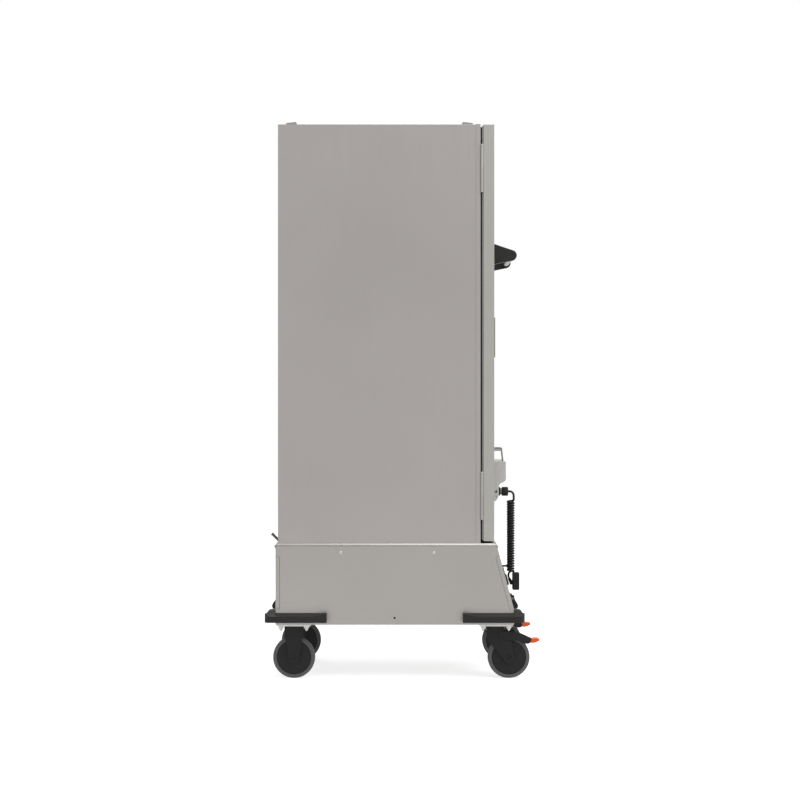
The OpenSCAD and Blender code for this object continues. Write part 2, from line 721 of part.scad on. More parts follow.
// Strap handle over the housing, with a grip under its top
module heater_bail() color("gray") {
    top = 682.7;
    along_x([[heater_back, heater_top], [heater_back, top], [door_front - 31, top],
        [door_front - 34, top - 1.3], [door_front - 35.6, top - 4], [door_front - 36, top - 10.7],
        [door_front - 39.4, heater_top], [door_front - 36, heater_top], [door_front - 32.7, top - 10.7],
        [door_front - 32.3, top - 3.5], [heater_back - 3, top - 3.5], [heater_back - 3, heater_top]],
        -18, 18);
    span([-17, door_front - 32.5, top - 10.7], [17, heater_back - 2.9, top - 3.4]);
}

module heater_gland() color("dimgray") translate([cord_x, door_front - 19, gland_z]) rotate([90, 0, 0])
    rotate_extrude() polygon([[0, 0], [13, 0], [13, 6.4], [9.5, 6.4], [9.5, 11.4], [12.6, 11.4],
        [13.6, 13], [13.6, 28.5], [12, 31], [0, 31]]);

// ---- Cord ----

// Point of the coil's centre line, at an angle round the axis from the front
function coil_point(angle, z) = [cord_x + curl_r * sin(angle), coil_y - curl_r * cos(angle), z];
function coil_out(angle) = [sin(angle), -cos(angle), 0];
function coil_round(angle) = [cos(angle), sin(angle), 0];

// Steps of the coil as [angle, z, dip], where dip is the path's fall below level in degrees
steps = round(turns * 8);
arc_steps = 3;
COIL = concat(
    [[0, coil_top, 90]],
    [for (k = [0:arc_steps]) let (a = 90 * k / arc_steps)
        [turn_in_deg * (1 - cos(a)), helix_top + turn_in_r * (1 - sin(a)), 90 - a]],
    [for (k = [1:steps - 1]) [turn_in_deg + 360 * turns * k / steps,
        helix_top + (helix_bottom - helix_top) * k / steps, 7]],
    [for (k = [0:2 * arc_steps]) let (a = 90 * k / (2 * arc_steps))
        [turn_in_deg + 360 * turns + turn_out_deg * sin(a), helix_bottom - turn_out_r * (1 - cos(a)), a]],
    [[turn_in_deg + 360 * turns + turn_out_deg, coil_bottom, 90]]);
function coil_ring(step) = let (out = coil_out(step[0]),
    ahead = cos(step[2]) * coil_round(step[0]) - [0, 0, sin(step[2])])
    ring(coil_point(step[0], step[1]), out, cross(out, ahead), wire_r, 6);
CENTRES = [for (step = COIL) coil_point(step[0], step[1])];
gaps = [for (i = [0:len(CENTRES) - 6], j = [i + 5:min(i + 11, len(CENTRES) - 1)])
    norm(CENTRES[i] - CENTRES[j]) - wire_d];
echo(least_gap_between_curls = min(gaps), curls = turns);

module cord_coil() color("dimgray") tube([for (step = COIL) coil_ring(step)]);

// Unit direction of a route in (y, z) at point i
function heading(route, i) = let (a = route[max(i - 1, 0)], b = route[min(i + 1, len(route) - 1)])
    (b - a) / norm(b - a);
function flat_ring(x, route, i) = let (h = heading(route, i))
    ring([x, route[i][0], route[i][1]], [1, 0, 0], [0, -h[1], h[0]], wire_r, 8);

module flat_cord(x, route) color("dimgray") tube([for (i = [0:len(route) - 1]) flat_ring(x, route, i)]);
module cord_lead() flat_cord(cord_x, LEAD);
module cord_tail() flat_cord(tail_x, TAIL);

// Plug with two pins that point away from the near side, and a boot for the tail
module plug_body() color("dimgray") {
    y0 = -354.6;
    y1 = -333.4;
    z0 = 251;
    z1 = 304.2;
    end = TAIL[len(TAIL) - 1];
    lean = atan2(TAIL[len(TAIL) - 2][0] - end[0], TAIL[len(TAIL) - 2][1] - end[1]);
    translate([cord_x - 13, y0, z0]) rotate([90, 0, 90]) linear_extrude(26)
        rounded_rect([y1 - y0, z1 - z0], 3);
    translate([tail_x, end[0], end[1]]) rotate([180 - lean, 0, 0]) cylinder(r1 = 4.2, r2 = 5, h = 13);
    span([tail_x - 5, y1 - 1, 266], [tail_x + 5, end[0] - 1.5, 280]);
    for (z = [268, 287]) rod_x(-344, z, 2.4, cord_x + 12, cord_x + 32);
}

chassis();
base_side(-1);  // base_side_left
base_side(1);  // base_side_right
base_front_cover();
base_rear_cover();
base_deck();
side_screws();
bumper(-1, -1);  // bumper_front_left
bumper(1, -1);  // bumper_front_right
bumper(-1, 1);  // bumper_rear_left
bumper(1, 1);  // bumper_rear_right
centre_buffers();
outer_shell();
front_frame();
insulation();
inner_liner();
rack_posts();
rack_rails(-1);  // rack_rails_left
rack_rails(1);  // rack_rails_right
roof_pads();
rear_spout();
hinge_body_halves();
hinge_pins();
plug_dock();
caster_plates();
caster_bolts();
rear_forks();
rear_axles();
front_fork(-1);  // front_fork_left
front_fork(1);  // front_fork_right
front_axle(-1);  // front_axle_left
front_axle(1);  // front_axle_right
brake_pedal(-1);  // brake_pedal_left
brake_pedal(1);  // brake_pedal_right
pedal_tip(-1);  // pedal_tip_left
pedal_tip(1);  // pedal_tip_right
wheel_core(-1, -1);  // wheel_core_front_left
wheel_core(1, -1);  // wheel_core_front_right
wheel_core(-1, 1);  // wheel_core_rear_left
wheel_core(1, 1);  // wheel_core_rear_right
tyre(-1, -1);  // tyre_front_left
tyre(1, -1);  // tyre_front_right
tyre(-1, 1);  // tyre_rear_left
tyre(1, 1);  // tyre_rear_right
door_skin();
door_core();
door_liner();
door_gasket();
hinge_door_halves();
push_bar_brackets();
push_bar_tube();
card_holder();
heater_housing();
heater_core();
heater_bail();
heater_gland();
cord_lead();
cord_coil();
cord_tail();
plug_body();
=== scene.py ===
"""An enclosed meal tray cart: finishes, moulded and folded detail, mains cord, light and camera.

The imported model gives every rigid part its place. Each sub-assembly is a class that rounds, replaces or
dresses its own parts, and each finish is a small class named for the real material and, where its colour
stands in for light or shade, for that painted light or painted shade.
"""

import json
import logging
import math
from collections.abc import Callable
from dataclasses import dataclass, field
from enum import Enum

import bmesh
import bpy
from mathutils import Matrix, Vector


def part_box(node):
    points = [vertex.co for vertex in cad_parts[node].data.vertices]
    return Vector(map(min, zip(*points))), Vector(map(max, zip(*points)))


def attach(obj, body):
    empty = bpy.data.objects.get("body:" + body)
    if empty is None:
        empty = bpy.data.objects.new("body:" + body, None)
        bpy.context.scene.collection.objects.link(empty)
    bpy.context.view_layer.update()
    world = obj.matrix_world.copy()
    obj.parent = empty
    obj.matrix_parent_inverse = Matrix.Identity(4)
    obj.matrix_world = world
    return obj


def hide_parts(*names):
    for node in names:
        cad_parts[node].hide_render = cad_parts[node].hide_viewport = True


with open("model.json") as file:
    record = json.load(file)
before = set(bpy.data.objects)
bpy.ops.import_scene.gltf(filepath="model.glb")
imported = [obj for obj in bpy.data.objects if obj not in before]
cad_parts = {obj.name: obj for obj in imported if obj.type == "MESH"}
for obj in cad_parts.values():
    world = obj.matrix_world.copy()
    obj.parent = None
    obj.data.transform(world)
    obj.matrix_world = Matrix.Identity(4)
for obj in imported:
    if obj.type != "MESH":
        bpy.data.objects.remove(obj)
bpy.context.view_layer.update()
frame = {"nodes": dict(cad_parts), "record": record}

LOG = logging.getLogger("tray_cart")
MM = 0.001
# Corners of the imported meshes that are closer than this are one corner
WELD_M = 2e-6
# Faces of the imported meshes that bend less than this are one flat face
FLAT_DEG = 0.8
# Edges that bend more than this are rounded
CORNER_DEG = 28.0
# Length of a ground scratch in widths
SCRATCH_STRETCH = 120
Point = tuple[float, float, float]
Outline = list[tuple[float, float]]


class Axis(Enum):
    """Direction that a grain or a turned shape follows."""

    X = 0
    Y = 1
    Z = 2


# ---- Shader helpers ----

def linear(hex_code: str) -> tuple[float, float, float, float]:
    """Turn an sRGB hex colour into the linear colour that shaders use.

    Args:
        hex_code: Colour such as "#a5a19c".

    Returns:
        Linear red, green, blue and an alpha of 1.
    """
    channels = [int(hex_code[i:i + 2], 16) / 255 for i in (1, 3, 5)]
    curve = [c / 12.92 if c <= 0.04045 else ((c + 0.055) / 1.055) ** 2.4 for c in channels]
    return (curve[0], curve[1], curve[2], 1.0)


def add_node(tree: bpy.types.NodeTree, kind: str, settings: dict | None = None,
             links: dict | None = None) -> bpy.types.Node:
    """Add a shader node, set its values and link its inputs.

    Args:
        tree: Node tree to add to.
        kind: Blender's node type.
        settings: Values by attribute name or input name.
        links: Output sockets by input name or index.

    Returns:
        The new node.
    """
    node = tree.nodes.new(kind)
    for name, value in (settings or {}).items():
        if hasattr(node, str(name)):
            setattr(node, name, value)
        else:
            node.inputs[name].default_value = value
    for name, socket in (links or {}).items():
        tree.links.new(socket, node.inputs[name])
    return node


def blank_material(name: str) -> tuple[bpy.types.Material, bpy.types.NodeTree]:
    """Make a material with an empty node tree.

    Args:
        name: Name of the material.

    Returns:
        The material and its tree.
    """
    material = bpy.data.materials.new(name)
    material.use_nodes = True
    material.node_tree.nodes.clear()
    return material, material.node_tree


# ---- Finishes ----

@dataclass(frozen=True)
class Finish:
    """Common base of the finishes: a colour that varies a little, and a fine relief.

    Attributes:
        name: Name of the material.
        colour: Main sRGB colour.
        shade: sRGB colour of its darker places.
        roughness: Roughness of the shader.
    """

    name: str
    colour: str
    shade: str
    roughness: float

    def material(self) -> bpy.types.Material:
        """Build the material once and return it.

        Returns:
            The material of this finish.
        """
        known = bpy.data.materials.get(self.name)
        if known:
            return known
        material, tree = blank_material(self.name)
        place = add_node(tree, "ShaderNodeTexCoord").outputs["Object"]
        shader = self.shade_surface(tree, place)
        add_node(tree, "ShaderNodeOutputMaterial", links={"Surface": shader})
        return material

    def shade_surface(self, tree: bpy.types.NodeTree, place: bpy.types.NodeSocket) -> bpy.types.NodeSocket:
        """Build the surface, which each kind of finish does in its own way."""
        raise NotImplementedError

    def blend(self, tree: bpy.types.NodeTree, factor: bpy.types.NodeSocket) -> bpy.types.NodeSocket:
        """Mix the shade and the main colour.

        Args:
            tree: Tree to build in.
            factor: 0 for the shade, 1 for the main colour.

        Returns:
            The colour.
        """
        ramp = add_node(tree, "ShaderNodeValToRGB", links={"Fac": factor})
        ramp.color_ramp.elements[0].position = 0.3
        ramp.color_ramp.elements[0].color = linear(self.shade)
        ramp.color_ramp.elements[1].position = 0.7
        ramp.color_ramp.elements[1].color = linear(self.colour)
        return ramp.outputs["Color"]


@dataclass(frozen=True)
class GroundStainless(Finish):
    """Stainless steel sheet, ground with a 240 grit belt and folded.

    The belt leaves fine straight scratches, which stretch the reflections across them and give the sheet its
    soft, slightly warm grey. The scratches are 0.05 mm wide: they are drawn 2 mm wide, as fine as shows.

    Attributes:
        grain: Direction of the scratches.
        scratch_mm: Drawn width of a scratch.
    """

    grain: Axis = Axis.Z
    scratch_mm: float = 2.0

    def shade_surface(self, tree: bpy.types.NodeTree, place: bpy.types.NodeSocket) -> bpy.types.NodeSocket:
        """Build brushed steel.

        Args:
            tree: Tree to build in.
            place: Position on the object, in metres.

        Returns:
            The shader's output.
        """
        across = 1 / (self.scratch_mm * MM)
        scale = [across, across, across]
        scale[self.grain.value] = across / SCRATCH_STRETCH
        grain_place = add_node(tree, "ShaderNodeMapping", {"Scale": scale}, {"Vector": place})
        grain = add_node(tree, "ShaderNodeTexNoise", {"Scale": 1.0, "Detail": 2.0},
                         {"Vector": grain_place.outputs[0]})
        cloud = add_node(tree, "ShaderNodeTexNoise", {"Scale": 2.2, "Detail": 2.0}, {"Vector": place})
        mixed = add_node(tree, "ShaderNodeMix", {"data_type": "FLOAT", "Factor": 0.35},
                         {2: cloud.outputs["Fac"], 3: grain.outputs["Fac"]})
        rough = add_node(tree, "ShaderNodeMapRange", {"To Min": self.roughness - 0.05,
                                                      "To Max": self.roughness + 0.05},
                         {"Value": grain.outputs["Fac"]})
        relief = add_node(tree, "ShaderNodeBump", {"Strength": 0.04, "Distance": 0.0004},
                          {"Height": grain.outputs["Fac"]})
        return add_node(tree, "ShaderNodeBsdfPrincipled", {"Metallic": 1.0},
                        {"Base Color": self.blend(tree, mixed.outputs[0]), "Roughness": rough.outputs[0],
                         "Normal": relief.outputs[0]}).outputs[0]


@dataclass(frozen=True)
class ZincPlate(Finish):
    """Steel with a bright zinc plating, which is cloudy where the bath left its crystals.

    Attributes:
        crystal_mm: Size of the cloudy patches.
    """

    crystal_mm: float = 4.0

    def shade_surface(self, tree: bpy.types.NodeTree, place: bpy.types.NodeSocket) -> bpy.types.NodeSocket:
        """Build plated steel.

        Args:
            tree: Tree to build in.
            place: Position on the object, in metres.

        Returns:
            The shader's output.
        """
        patches = add_node(tree, "ShaderNodeTexNoise", {"Scale": 1 / (self.crystal_mm * MM), "Detail": 4.0},
                           {"Vector": place})
        rough = add_node(tree, "ShaderNodeMapRange", {"To Min": self.roughness - 0.08,
                                                      "To Max": self.roughness + 0.08},
                         {"Value": patches.outputs["Fac"]})
        return add_node(tree, "ShaderNodeBsdfPrincipled", {"Metallic": 1.0},
                        {"Base Color": self.blend(tree, patches.outputs["Fac"]),
                         "Roughness": rough.outputs[0]}).outputs[0]


@dataclass(frozen=True)
class Moulded(Finish):
    """Moulded plastic or rubber whose mould was spark eroded, so that its skin has a fine matt grain.

    Attributes:
        grain_mm: Size of the grain, drawn as coarse as it needs to show.
        depth: Strength of the grain's relief.
        ior: Index of refraction: 1.53 for polyamide, 1.52 for rubber.
        gloss: Specular level. A deep spark-eroded grain traps most of the reflection.
    """

    grain_mm: float = 1.2
    depth: float = 0.15
    ior: float = 1.53
    gloss: float = 0.18

    def shade_surface(self, tree: bpy.types.NodeTree, place: bpy.types.NodeSocket) -> bpy.types.NodeSocket:
        """Build a moulded skin.

        Args:
            tree: Tree to build in.
            place: Position on the object, in metres.

        Returns:
            The shader's output.
        """
        skin = add_node(tree, "ShaderNodeTexNoise", {"Scale": 1 / (self.grain_mm * MM), "Detail": 3.0},
                        {"Vector": place})
        flow = add_node(tree, "ShaderNodeTexNoise", {"Scale": 12.0, "Detail": 3.0, "Distortion": 0.6},
                        {"Vector": place})
        mixed = add_node(tree, "ShaderNodeMix", {"data_type": "FLOAT", "Factor": 0.4},
                         {2: flow.outputs["Fac"], 3: skin.outputs["Fac"]})
        rough = add_node(tree, "ShaderNodeMapRange", {"To Min": self.roughness - 0.07,
                                                      "To Max": self.roughness + 0.07},
                         {"Value": mixed.outputs[0]})
        relief = add_node(tree, "ShaderNodeBump", {"Strength": self.depth, "Distance": 0.0003},
                          {"Height": skin.outputs["Fac"]})
        values = {"IOR": self.ior, "Specular IOR Level": self.gloss}
        return add_node(tree, "ShaderNodeBsdfPrincipled", values,
                        {"Base Color": self.blend(tree, mixed.outputs[0]), "Roughness": rough.outputs[0],
                         "Normal": relief.outputs[0]}).outputs[0]


@dataclass(frozen=True)
class MineralWool(Finish):
    """Pressed mineral wool board, whose fibres lie in soft tufts."""

    def shade_surface(self, tree: bpy.types.NodeTree, place: bpy.types.NodeSocket) -> bpy.types.NodeSocket:
        """Build a fibrous board.

        Args:
            tree: Tree to build in.
            place: Position on the object, in metres.

        Returns:
            The shader's output.
        """
        tufts = add_node(tree, "ShaderNodeTexNoise", {"Scale": 180.0, "Detail": 6.0, "Distortion": 2.0},
                         {"Vector": place})
        relief = add_node(tree, "ShaderNodeBump", {"Strength": 0.6, "Distance": 0.002},
                          {"Height": tufts.outputs["Fac"]})
        return add_node(tree, "ShaderNodeBsdfPrincipled", {"Roughness": self.roughness},
                        {"Base Color": self.blend(tree, tufts.outputs["Fac"]),
                         "Normal": relief.outputs[0]}).outputs[0]


CABINET_STEEL = GroundStainless("cabinet_ground_stainless", "#9d9997", "#969290", 0.42)
DOOR_STEEL = GroundStainless("door_ground_stainless", "#a09f9a", "#999893", 0.42)
BASE_STEEL = GroundStainless("base_ground_stainless", "#9b9895", "#94918e", 0.42, Axis.Y)
DECK_STEEL = GroundStainless("deck_ground_stainless", "#878482", "#807d7b", 0.42, Axis.X)
LINER_STEEL = GroundStainless("liner_rolled_stainless", "#b4b4b2", "#a9a9a7", 0.3, Axis.Z)
HEATER_STEEL = GroundStainless("heater_satin_stainless", "#afadab", "#a5a3a0", 0.34, Axis.X)
# Darker than the heater's steel: painted shade on the top of the strap handle
STRAP_STEEL_PAINTED_SHADE = GroundStainless("strap_stainless_painted_shade", "#868583", "#7a7977", 0.34, Axis.X)
BAR_ALUMINIUM = GroundStainless("bar_anodised_aluminium", "#8f8e8b", "#858481", 0.36, Axis.X, 1.5)
PLATED = ZincPlate("zinc_plated_steel", "#bdbcb9", "#a5a4a1", 0.36)
CHASSIS_ZINC = ZincPlate("galvanised_tube", "#a3a3a1", "#868683", 0.5, 9.0)
DULL_ROD = ZincPlate("dull_steel_rod", "#6c6a66", "#575551", 0.5)
BLACK_OXIDE = ZincPlate("black_oxide_steel", "#2c2c2c", "#232323", 0.5, 6.0)
PIN_NICKEL = ZincPlate("nickel_plated_brass", "#c9c4b4", "#b9b3a2", 0.22, 6.0)
BUMPER_RUBBER = Moulded("bumper_moulded_rubber", "#252423", "#1f1e1d", 0.55, 1.6, 0.25, 1.52)
CASTER_NYLON = Moulded("caster_moulded_nylon", "#1f1f1f", "#191919", 0.5)
TREAD_RUBBER = Moulded("tread_grey_rubber", "#646463", "#565655", 0.65, 1.4, 0.3, 1.52)
BRAKE_NYLON = Moulded("brake_orange_nylon", "#e0560f", "#d14b09", 0.4, 1.2, 0.1, 1.53, 0.4)
BRACKET_NYLON = Moulded("bracket_black_nylon", "#232322", "#1c1c1b", 0.48)
GASKET_RUBBER = Moulded("gasket_silicone_rubber", "#2f2e2d", "#272625", 0.6, 2.0, 0.2, 1.41)
GASKET_CARRIER = Moulded("gasket_grey_carrier", "#8d8d8f", "#848486", 0.5, 2.0, 0.1, 1.46, 0.4)
PAD_PLASTIC = Moulded("pad_grey_plastic", "#8f8d8a", "#7c7a77", 0.5)
DOCK_PLASTIC = Moulded("dock_black_plastic", "#262624", "#1e1e1c", 0.5)
# Light grey tongue: a painted highlight standing for the lit edge of the cord's tail
DOCK_TONGUE_PAINTED_HIGHLIGHT = Moulded("dock_tongue_painted_highlight", "#a5a5a2", "#9a9a97", 0.45, 1.2, 0.1, 1.49, 0.5)
HOLDER_PLASTIC = Moulded("holder_grey_plastic", "#7d7875", "#716c69", 0.4, 0.8, 0.08, 1.49, 0.5)
# Light grey: painted light on the lower side of the heater's strap handle
GRIP_PAINTED_LIGHT = Moulded("grip_plastic_painted_light", "#a3a2a0", "#989795", 0.5, 1.2, 0.1, 1.49, 0.4)
CARD_PAPER = Moulded("blank_label_card", "#e9e7e1", "#e0ddd6", 0.75, 0.6, 0.12, 1.5, 0.5)
CORD_RUBBER = Moulded("cord_black_rubber", "#181818", "#121212", 0.5, 1.0, 0.2, 1.52)
GLAND_NYLON = Moulded("gland_black_nylon", "#1a1a19", "#141413", 0.5)
GLAND_GREY = Moulded("gland_grey_nylon", "#8b8b88", "#7b7b78", 0.5)
PLUG_RUBBER = Moulded("plug_moulded_rubber", "#1b1b1a", "#151514", 0.5, 1.2, 0.25, 1.52)
WOOL = MineralWool("mineral_wool_board", "#cfc08f", "#b5a573", 0.95)


# ---- Mesh helpers ----

def settle(piece: bpy.types.Object, finish: Finish, smooth_deg: float = 36.0) -> bpy.types.Object:
    """Smooth a piece's round faces, keep its corners crisp and give it a finish.

    Args:
        piece: Mesh object to dress.
        finish: Finish of the whole piece.
        smooth_deg: Edges that bend less than this are smooth.

    Returns:
        The same piece.
    """
    mesh = piece.data
    mesh.materials.clear()
    mesh.materials.append(finish.material())
    for face in mesh.polygons:
        face.use_smooth = True
        face.material_index = 0
    mesh.set_sharp_from_angle(angle=math.radians(smooth_deg))
    weighted = piece.modifiers.new("flat faces", "WEIGHTED_NORMAL")
    weighted.keep_sharp = True
    return piece


def new_piece(name: str, bm: bmesh.types.BMesh, finish: Finish, body: str,
              stands_for: tuple[str, ...] = ()) -> bpy.types.Object:
    """Turn a bmesh into a piece of the cart.

    Args:
        name: Name of the piece.
        bm: Its geometry in metres. It is freed.
        finish: Its finish.
        body: Body that it rides on.
        stands_for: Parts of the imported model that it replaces.

    Returns:
        The piece.
    """
    mesh = bpy.data.meshes.new(name)
    bmesh.ops.recalc_face_normals(bm, faces=bm.faces)
    bm.to_mesh(mesh)
    bm.free()
    for layer in [a for a in mesh.attributes if a.name == "custom_normal"]:
        mesh.attributes.remove(layer)
    piece = bpy.data.objects.new(name, mesh)
    bpy.context.scene.collection.objects.link(piece)
    settle(piece, finish)
    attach(piece, body)
    if stands_for:
        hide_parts(*stands_for)
    return piece


def body_of(node: str) -> str:
    """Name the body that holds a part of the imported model."""
    return next(body for body, names in frame["record"]["behaviour"]["bodies"].items() if node in names)


def mesh_of(node: str) -> bmesh.types.BMesh:
    """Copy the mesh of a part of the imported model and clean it.

    Args:
        node: Name of the part.

    Returns:
        Its mesh with whole flat faces.
    """
    bm = bmesh.new()
    bm.from_mesh(frame["nodes"][node].data)
    bmesh.ops.remove_doubles(bm, verts=bm.verts, dist=WELD_M)
    bmesh.ops.dissolve_limit(bm, angle_limit=math.radians(FLAT_DEG), verts=bm.verts, edges=bm.edges)
    return bm


def ease_edges(bm: bmesh.types.BMesh, radius_mm: float, segments: int = 3, clamp: bool = True) -> None:
    """Round the convex edges of a mesh.

    Args:
        bm: Mesh to change.
        radius_mm: Radius of the edges.
        segments: Faces across a rounded edge.
        clamp: Whether short edges limit the radius.
    """
    corner = math.radians(CORNER_DEG)
    edges = [e for e in bm.edges if len(e.link_faces) == 2 and e.is_convex and e.calc_face_angle(0) > corner]
    bmesh.ops.bevel(bm, geom=edges, offset=radius_mm * MM, segments=segments, profile=0.5, affect="EDGES",
                    clamp_overlap=clamp)


def rounded(node: str, finish: Finish, radius_mm: float, segments: int = 3,
            clamp: bool = True) -> bpy.types.Object:
    """Round the convex edges of a part, as folding, moulding or deburring leaves them.

    Args:
        node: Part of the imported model, whose place the rounded piece takes.
        finish: Finish of the piece.
        radius_mm: Radius of the edges.
        segments: Faces across a rounded edge.
        clamp: Whether short edges limit the radius.

    Returns:
        The piece that stands for the part.
    """
    bm = mesh_of(node)
    ease_edges(bm, radius_mm, segments, clamp)
    return new_piece(f"{node}_shape", bm, finish, body_of(node), (node,))


def paint(piece: bpy.types.Object, finish: Finish, chosen: Callable[[Vector], bool]) -> None:
    """Give some faces of a piece a second finish, where the real thing is made of two materials.

    Args:
        piece: Piece to change.
        finish: Second finish.
        chosen: Tells from a face's centre, in millimetres, whether it takes the second finish.
    """
    mesh = piece.data
    mesh.materials.append(finish.material())
    for face in mesh.polygons:
        if chosen(face.center / MM):
            face.material_index = len(mesh.materials) - 1


def dress(node: str, finish: Finish) -> None:
    """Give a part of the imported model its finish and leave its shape.

    Args:
        node: Name of the part.
        finish: Its finish.
    """
    mesh = frame["nodes"][node].data
    mesh.materials.clear()
    mesh.materials.append(finish.material())


def turned(bm: bmesh.types.BMesh, outline: Outline, centre: Point, axis: Axis, steps: int = 48,
           sense: int = 1, wave: tuple[int, float] = (0, 0.0)) -> None:
    """Turn an outline round an axis.

    Args:
        bm: Mesh to add to.
        outline: Distances (radius, along) in millimetres.
        centre: Start of the axis, in millimetres.
        axis: Direction of the axis.
        steps: Sides of the turned shape.
        sense: 1 or -1, whether the outline runs up or down the axis.
        wave: Number of ridges round the shape and their height in millimetres.
    """
    rings = []
    for radius, along in outline:
        ring = []
        for k in range(steps):
            angle = 2 * math.pi * k / steps
            ridge = wave[1] * math.cos(wave[0] * angle) if wave[0] else 0.0
            r = max(radius + (ridge if radius > 0.01 else 0.0), 0.0)
            local = [r * math.cos(angle), r * math.sin(angle)]
            local.insert(axis.value, sense * along)
            ring.append(bm.verts.new([(c + d) * MM for c, d in zip(centre, local)]))
        rings.append(ring)
    for low, high in zip(rings, rings[1:]):
        for k in range(steps):
            bm.faces.new((low[k], low[(k + 1) % steps], high[(k + 1) % steps], high[k]))
    for ring in (rings[0], rings[-1]):
        bm.faces.new(ring)
    bmesh.ops.remove_doubles(bm, verts=bm.verts, dist=1e-6)


def rounded_block(bm: bmesh.types.BMesh, low: Point | Vector, high: Point | Vector, radius_mm: float) -> None:
    """Add a box with rounded edges.

    Args:
        bm: Mesh to add to.
        low: Lowest corner in millimetres.
        high: Highest corner in millimetres.
        radius_mm: Radius of its edges.
    """
    made = bmesh.ops.create_cube(bm, size=1.0)["verts"]
    for vert in made:
        vert.co = Vector([(a + (b - a) * (c + 0.5)) * MM for a, b, c in zip(low, high, vert.co)])
    edges = list({edge for vert in made for edge in vert.link_edges})
    bmesh.ops.bevel(bm, geom=edges, offset=radius_mm * MM, segments=3, profile=0.5, affect="EDGES")


# ---- Studio ----

@dataclass(frozen=True)
class Lamp:
    """Soft square lamp that faces the cart.

    Attributes:
        name: Name of the lamp.
        place: Its place in metres.
        size: Its width in metres.
        watts: Its power.
    """

    name: str
    place: Point
    size: float
    watts: float


@dataclass
class Studio:
    """White studio with a pale floor, even light and the camera of the photograph.

    Attributes:
        camera_at: Place of the camera, in metres.
        lens_mm: Focal length.
        sensor_mm: Width of the sensor.
        image_px: Width of the picture.
        centre_px: Column of the picture that the cart's middle falls on.
        sky: Strength of the even light on matt surfaces.
        lamps: Lamps that model the cart's shape.
        aim_at: Point that the lamps face, in metres.
        floor_tone: Share of the light that the floor sends back.
        floor_glow: Light that lifts the floor to white in the picture.
        floor_size: Half the floor's width, in metres.
    """

    camera_at: Point = (-5.841, 0.0, 0.8285)
    lens_mm: float = 85.0
    sensor_mm: float = 36.0
    image_px: float = 800.0
    centre_px: float = 402.75
    sky: float = 0.52
    lamps: tuple[Lamp, ...] = (
        Lamp("key lamp", (-3.2, -3.4, 4.4), 3.0, 150.0),
        Lamp("top lamp", (-1.4, -0.8, 4.6), 2.4, 120.0),
        Lamp("fill lamp", (-4.2, 3.0, 2.0), 3.0, 12.0),
        Lamp("back lamp", (3.5, 1.0, 4.0), 3.0, 60.0),
    )
    aim_at: Point = (0.0, 0.0, 0.85)
    floor_tone: float = 0.62
    floor_glow: float = 0.7
    floor_size: float = 9.0

    def build(self) -> None:
        """Set up the camera, the lamps, the world and the floor."""
        bpy.context.scene.view_settings.view_transform = "Standard"
        self.camera()
        self.world()
        for lamp in self.lamps:
            self.hang(lamp)
        self.floor()

    def camera(self) -> None:
        """Place the camera, level and square to the cart's left side."""
        data = bpy.data.cameras.new("camera")
        data.lens = self.lens_mm
        data.sensor_width = self.sensor_mm
        data.shift_x = -(self.centre_px - self.image_px / 2) / self.image_px
        data.clip_end = 60
        camera = bpy.data.objects.new("camera", data)
        camera.location = self.camera_at
        camera.rotation_euler = (math.radians(90), 0, math.radians(-90))
        bpy.context.scene.collection.objects.link(camera)
        bpy.context.scene.camera = camera

    def hang(self, lamp: Lamp) -> None:
        """Hang a lamp and turn it towards the cart.

        Args:
            lamp: The lamp.
        """
        data = bpy.data.lights.new(lamp.name, "AREA")
        data.size = lamp.size
        data.energy = lamp.watts
        hung = bpy.data.objects.new(lamp.name, data)
        hung.location = lamp.place
        aim = Vector(self.aim_at) - Vector(lamp.place)
        hung.rotation_euler = aim.to_track_quat("-Z", "Y").to_euler()
        bpy.context.scene.collection.objects.link(hung)

    def seen_directly(self, tree: bpy.types.NodeTree) -> bpy.types.NodeSocket:
        """Tell rays that show the background from rays that light a matt surface.

        Args:
            tree: Tree to build in.

        Returns:
            1 for camera, glossy and transmitted rays, 0 for others.
        """
        ray = add_node(tree, "ShaderNodeLightPath")
        pair = add_node(tree, "ShaderNodeMath", {"operation": "MAXIMUM"},
                        {0: ray.outputs["Is Camera Ray"], 1: ray.outputs["Is Glossy Ray"]})
        return add_node(tree, "ShaderNodeMath", {"operation": "MAXIMUM"},
                        {0: pair.outputs[0], 1: ray.outputs["Is Transmission Ray"]}).outputs[0]

    def world(self) -> None:
        """Light matt surfaces evenly and show white behind the cart."""
        world = bpy.data.worlds.new("studio")
        world.use_nodes = True
        tree = world.node_tree
        tree.nodes.clear()
        strength = add_node(tree, "ShaderNodeMapRange", {"To Min": self.sky, "To Max": 1.0},
                            {"Value": self.seen_directly(tree)})
        light = add_node(tree, "ShaderNodeBackground", {"Color": (1, 1, 1, 1)},
                         {"Strength": strength.outputs[0]})
        add_node(tree, "ShaderNodeOutputWorld", links={"Surface": light.outputs[0]})
        bpy.context.scene.world = world

    def floor(self) -> None:
        """Lay a white floor that keeps the cart's soft shadow."""
        material, tree = blank_material("white_studio_floor")
        matt = add_node(tree, "ShaderNodeBsdfDiffuse", {"Color": (*[self.floor_tone] * 3, 1)})
        glow = add_node(tree, "ShaderNodeMapRange", {"To Min": 0.0, "To Max": self.floor_glow},
                        {"Value": self.seen_directly(tree)})
        white = add_node(tree, "ShaderNodeEmission", {"Color": (1, 1, 1, 1)}, {"Strength": glow.outputs[0]})
        both = add_node(tree, "ShaderNodeAddShader", links={0: matt.outputs[0], 1: white.outputs[0]})
        add_node(tree, "ShaderNodeOutputMaterial", links={"Surface": both.outputs[0]})
        bm = bmesh.new()
        bmesh.ops.create_grid(bm, x_segments=1, y_segments=1, size=self.floor_size)
        mesh = bpy.data.meshes.new("floor")
        bm.to_mesh(mesh)
        bm.free()
        mesh.materials.append(material)
        floor = bpy.data.objects.new("floor", mesh)
        bpy.context.scene.collection.objects.link(floor)


# ---- Cord ----

